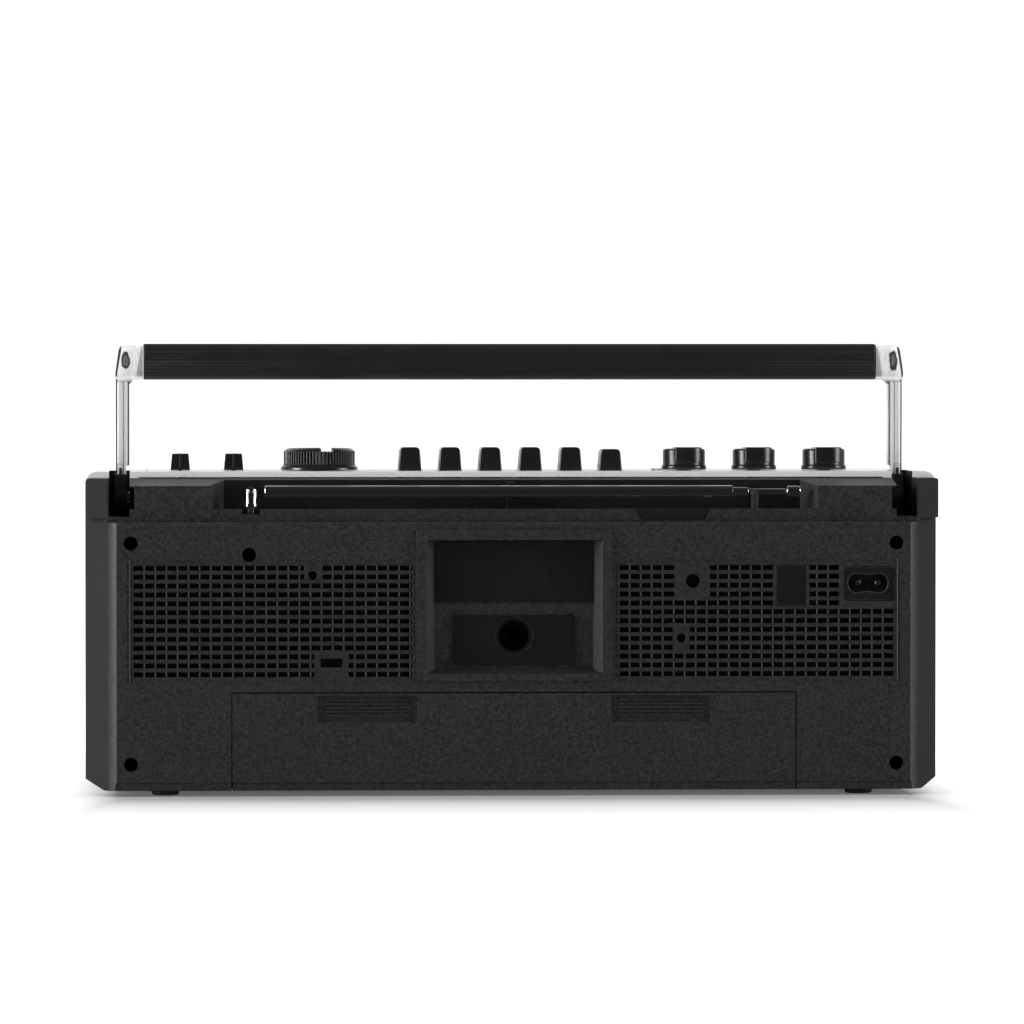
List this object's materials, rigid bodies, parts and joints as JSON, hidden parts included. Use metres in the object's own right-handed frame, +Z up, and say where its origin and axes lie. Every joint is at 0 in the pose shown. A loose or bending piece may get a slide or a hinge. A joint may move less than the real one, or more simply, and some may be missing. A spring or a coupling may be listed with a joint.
{
  "type": "portable radio cassette recorder",
  "caption": "Portable radio cassette recorder with folding carrying handle, telescopic antenna, piano keys, rotary knobs, cassette door and battery door.",
  "frame": {"origin": "middle of the recorder at the height of the surface its feet stand on", "axes": "+X along the width, to the right seen from the front; +Y from the front to the back; +Z up"},
  "size_m": [0.374, 0.112, 0.1972],
  "materials": {
    "black_plastic": "fine spark-eroded grain",
    "silver_plastic": "satin silver paint on moulded plastic",
    "gloss_black": "glossy moulded",
    "grip_plastic": "ribbed along its length",
    "label_black": "smooth satin",
    "chrome": "polished",
    "steel": "zinc plated",
    "brass": "turned",
    "rubber": "matte",
    "grille_metal": "black painted pressed sheet",
    "clear_plastic": "clear moulded",
    "capacitor_plastic": "cloudy moulded case",
    "board": "solder mask on laminate",
    "cone_paper": "pressed fibre",
    "dial_card": "printed scale",
    "pointer_red": "moulded",
    "ferrite": "sintered"
  },
  "bodies": {
    "cabinet": {"rear_cover": "black_plastic", "front_cabinet": "silver_plastic", "top_panel": "silver_plastic", "battery_tray": "black_plastic", "battery_spring": "steel", "main_board": "board", "mains_transformer": "steel", "mains_inlet": "gloss_black", "mains_pin_left": "brass", "mains_pin_right": "brass", "tuning_capacitor": "capacitor_plastic", "ferrite_aerial": "ferrite", "dial_plate": "dial_card", "dial_window": "clear_plastic", "speaker_basket_left": "steel", "speaker_basket_right": "steel", "speaker_cone_left": "cone_paper", "speaker_cone_right": "cone_paper", "speaker_grille_left": "grille_metal", "speaker_grille_right": "grille_metal", "foot_rear_left": "rubber", "foot_rear_right": "rubber", "foot_front_left": "rubber", "foot_front_right": "rubber", "label_upper": "label_black", "label_lower": "label_black", "blanking_plate": "label_black", "deck_chassis": "steel", "deck_motor": "steel", "drive_belt": "rubber"},
    "handle": {"handle_grip": "grip_plastic", "handle_arm_left": "chrome", "handle_arm_right": "chrome"},
    "antenna_swivel": {"antenna_base": "chrome"},
    "antenna_mast": {"antenna_tube": "chrome"},
    "antenna_section_2": {"antenna_middle": "chrome"},
    "antenna_section_3": {"antenna_inner": "chrome", "antenna_tip": "chrome"},
    "battery_flap": {"battery_door": "black_plastic"},
    "cassette_flap": {"cassette_door": "silver_plastic", "cassette_window": "clear_plastic"},
    "record_button": {"record_key": "gloss_black"},
    "play_button": {"play_key": "gloss_black"},
    "rewind_button": {"rewind_key": "gloss_black"},
    "fast_forward_button": {"fast_forward_key": "gloss_black"},
    "stop_eject_button": {"stop_eject_key": "gloss_black"},
    "pause_button": {"pause_key": "gloss_black"},
    "head_plate_body": {"head_plate": "steel"},
    "pinch_roller_body": {"pinch_roller": "rubber"},
    "tuning_knob_body": {"tuning_knob": "gloss_black"},
    "dial_pointer_body": {"dial_pointer": "pointer_red"},
    "volume_knob_body": {"volume_knob": "gloss_black"},
    "bass_knob_body": {"bass_knob": "gloss_black"},
    "treble_knob_body": {"treble_knob": "gloss_black"},
    "function_switch_body": {"function_switch": "gloss_black"},
    "band_switch_body": {"band_switch": "gloss_black"},
    "flywheel_body": {"flywheel": "brass"},
    "motor_pulley_body": {"motor_pulley": "brass"},
    "supply_reel_body": {"supply_reel": "black_plastic"},
    "takeup_reel_body": {"takeup_reel": "black_plastic"}
  },
  "joints": [
    {"name": "handle_fold", "type": "hinge", "parent": "cabinet", "child": "handle", "pos_m": [0, 0.008, 0.1295], "axis": [-1, 0, 0], "range_deg": [0, 90]},
    {"name": "antenna_turn", "type": "hinge", "parent": "cabinet", "child": "antenna_swivel", "pos_m": [0.1147, 0.0465, 0.1231], "axis": [0, 0, -1], "range_deg": [0, 135]},
    {"name": "antenna_raise", "type": "hinge", "parent": "antenna_swivel", "child": "antenna_mast", "pos_m": [0.1147, 0.0465, 0.1325], "axis": [0, 1, 0], "range_deg": [0, 90]},
    {"name": "antenna_pull_2", "type": "slide", "parent": "antenna_mast", "child": "antenna_section_2", "axis": [-1, 0, 0], "range_m": [0, 0.165]},
    {"name": "antenna_pull_3", "type": "slide", "parent": "antenna_section_2", "child": "antenna_section_3", "axis": [-1, 0, 0], "range_m": [0, 0.165]},
    {"name": "battery_door_hinge", "type": "hinge", "parent": "cabinet", "child": "battery_flap", "pos_m": [0, 0.0495, 0.0062], "axis": [-1, 0, 0], "range_deg": [0, 80]},
    {"name": "cassette_door_hinge", "type": "hinge", "parent": "cabinet", "child": "cassette_flap", "pos_m": [0, -0.0535, 0.0226], "axis": [1, 0, 0], "range_deg": [0, 30]},
    {"name": "record_press", "type": "slide", "parent": "cabinet", "child": "record_button", "axis": [0, 0, -1], "range_m": [0, 0.0045], "stiffness_N_per_m": 250},
    {"name": "play_press", "type": "slide", "parent": "cabinet", "child": "play_button", "axis": [0, 0, -1], "range_m": [0, 0.0045], "stiffness_N_per_m": 250},
    {"name": "rewind_press", "type": "slide", "parent": "cabinet", "child": "rewind_button", "axis": [0, 0, -1], "range_m": [0, 0.0045], "stiffness_N_per_m": 250},
    {"name": "fast_forward_press", "type": "slide", "parent": "cabinet", "child": "fast_forward_button", "axis": [0, 0, -1], "range_m": [0, 0.0045], "stiffness_N_per_m": 250},
    {"name": "stop_eject_press", "type": "slide", "parent": "cabinet", "child": "stop_eject_button", "axis": [0, 0, -1], "range_m": [0, 0.0045], "stiffness_N_per_m": 250},
    {"name": "pause_press", "type": "slide", "parent": "cabinet", "child": "pause_button", "axis": [0, 0, -1], "range_m": [0, 0.0045], "stiffness_N_per_m": 250},
    {"name": "head_advance", "type": "slide", "parent": "cabinet", "child": "head_plate_body", "axis": [0, 0, -1], "range_m": [0, 0.0045]},
    {"name": "pinch_swing", "type": "hinge", "parent": "cabinet", "child": "pinch_roller_body", "pos_m": [-0.045, -0.039, 0.09845], "axis": [0, 1, 0], "range_deg": [0, 8.2]},
    {"name": "tuning_turn", "type": "hinge", "parent": "cabinet", "child": "tuning_knob_body", "pos_m": [0.0841, 0.009, 0.1416], "axis": [0, 0, 1], "range_deg": [-540, 540]},
    {"name": "pointer_travel", "type": "slide", "parent": "cabinet", "child": "dial_pointer_body", "axis": [1, 0, 0], "range_m": [-0.0475, 0.0475]},
    {"name": "volume_turn", "type": "hinge", "parent": "cabinet", "child": "volume_knob_body", "pos_m": [-0.0773, 0.009, 0.1416], "axis": [0, 0, 1], "range_deg": [-140, 140]},
    {"name": "bass_turn", "type": "hinge", "parent": "cabinet", "child": "bass_knob_body", "pos_m": [-0.1083, 0.009, 0.1416], "axis": [0, 0, 1], "range_deg": [-140, 140]},
    {"name": "treble_turn", "type": "hinge", "parent": "cabinet", "child": "treble_knob_body", "pos_m": [-0.1393, 0.009, 0.1416], "axis": [0, 0, 1], "range_deg": [-140, 140]},
    {"name": "function_select", "type": "slide", "parent": "cabinet", "child": "function_switch_body", "axis": [1, 0, 0], "range_m": [-0.0025, 0.0025]},
    {"name": "band_select", "type": "slide", "parent": "cabinet", "child": "band_switch_body", "axis": [1, 0, 0], "range_m": [-0.0025, 0.0025]},
    {"name": "flywheel_spin", "type": "hinge", "parent": "cabinet", "child": "flywheel_body", "pos_m": [-0.025, -0.037, 0.084], "axis": [0, 1, 0], "continuous": true},
    {"name": "motor_pulley_spin", "type": "hinge", "parent": "cabinet", "child": "motor_pulley_body", "pos_m": [0.03, -0.037, 0.084], "axis": [0, 1, 0], "continuous": true},
    {"name": "supply_reel_spin", "type": "hinge", "parent": "cabinet", "child": "supply_reel_body", "pos_m": [0.02125, -0.037, 0.057], "axis": [0, 1, 0], "continuous": true},
    {"name": "takeup_reel_spin", "type": "hinge", "parent": "cabinet", "child": "takeup_reel_body", "pos_m": [-0.02125, -0.037, 0.057], "axis": [0, 1, 0], "continuous": true}
  ],
  "couplings": [
    {"joint": "antenna_pull_2", "follows": "antenna_raise", "m_per_rad": 0.105},
    {"joint": "antenna_pull_3", "follows": "antenna_raise", "m_per_rad": 0.105},
    {"joint": "head_advance", "follows": "play_press", "ratio": 1},
    {"joint": "pinch_swing", "follows": "play_press", "rad_per_m": 31},
    {"joint": "pointer_travel", "follows": "tuning_turn", "m_per_rad": -0.005},
    {"joint": "motor_pulley_spin", "follows": "flywheel_spin", "ratio": 5.75},
    {"joint": "supply_reel_spin", "follows": "flywheel_spin", "ratio": 0.08},
    {"joint": "takeup_reel_spin", "follows": "flywheel_spin", "ratio": 0.08}
  ]
}
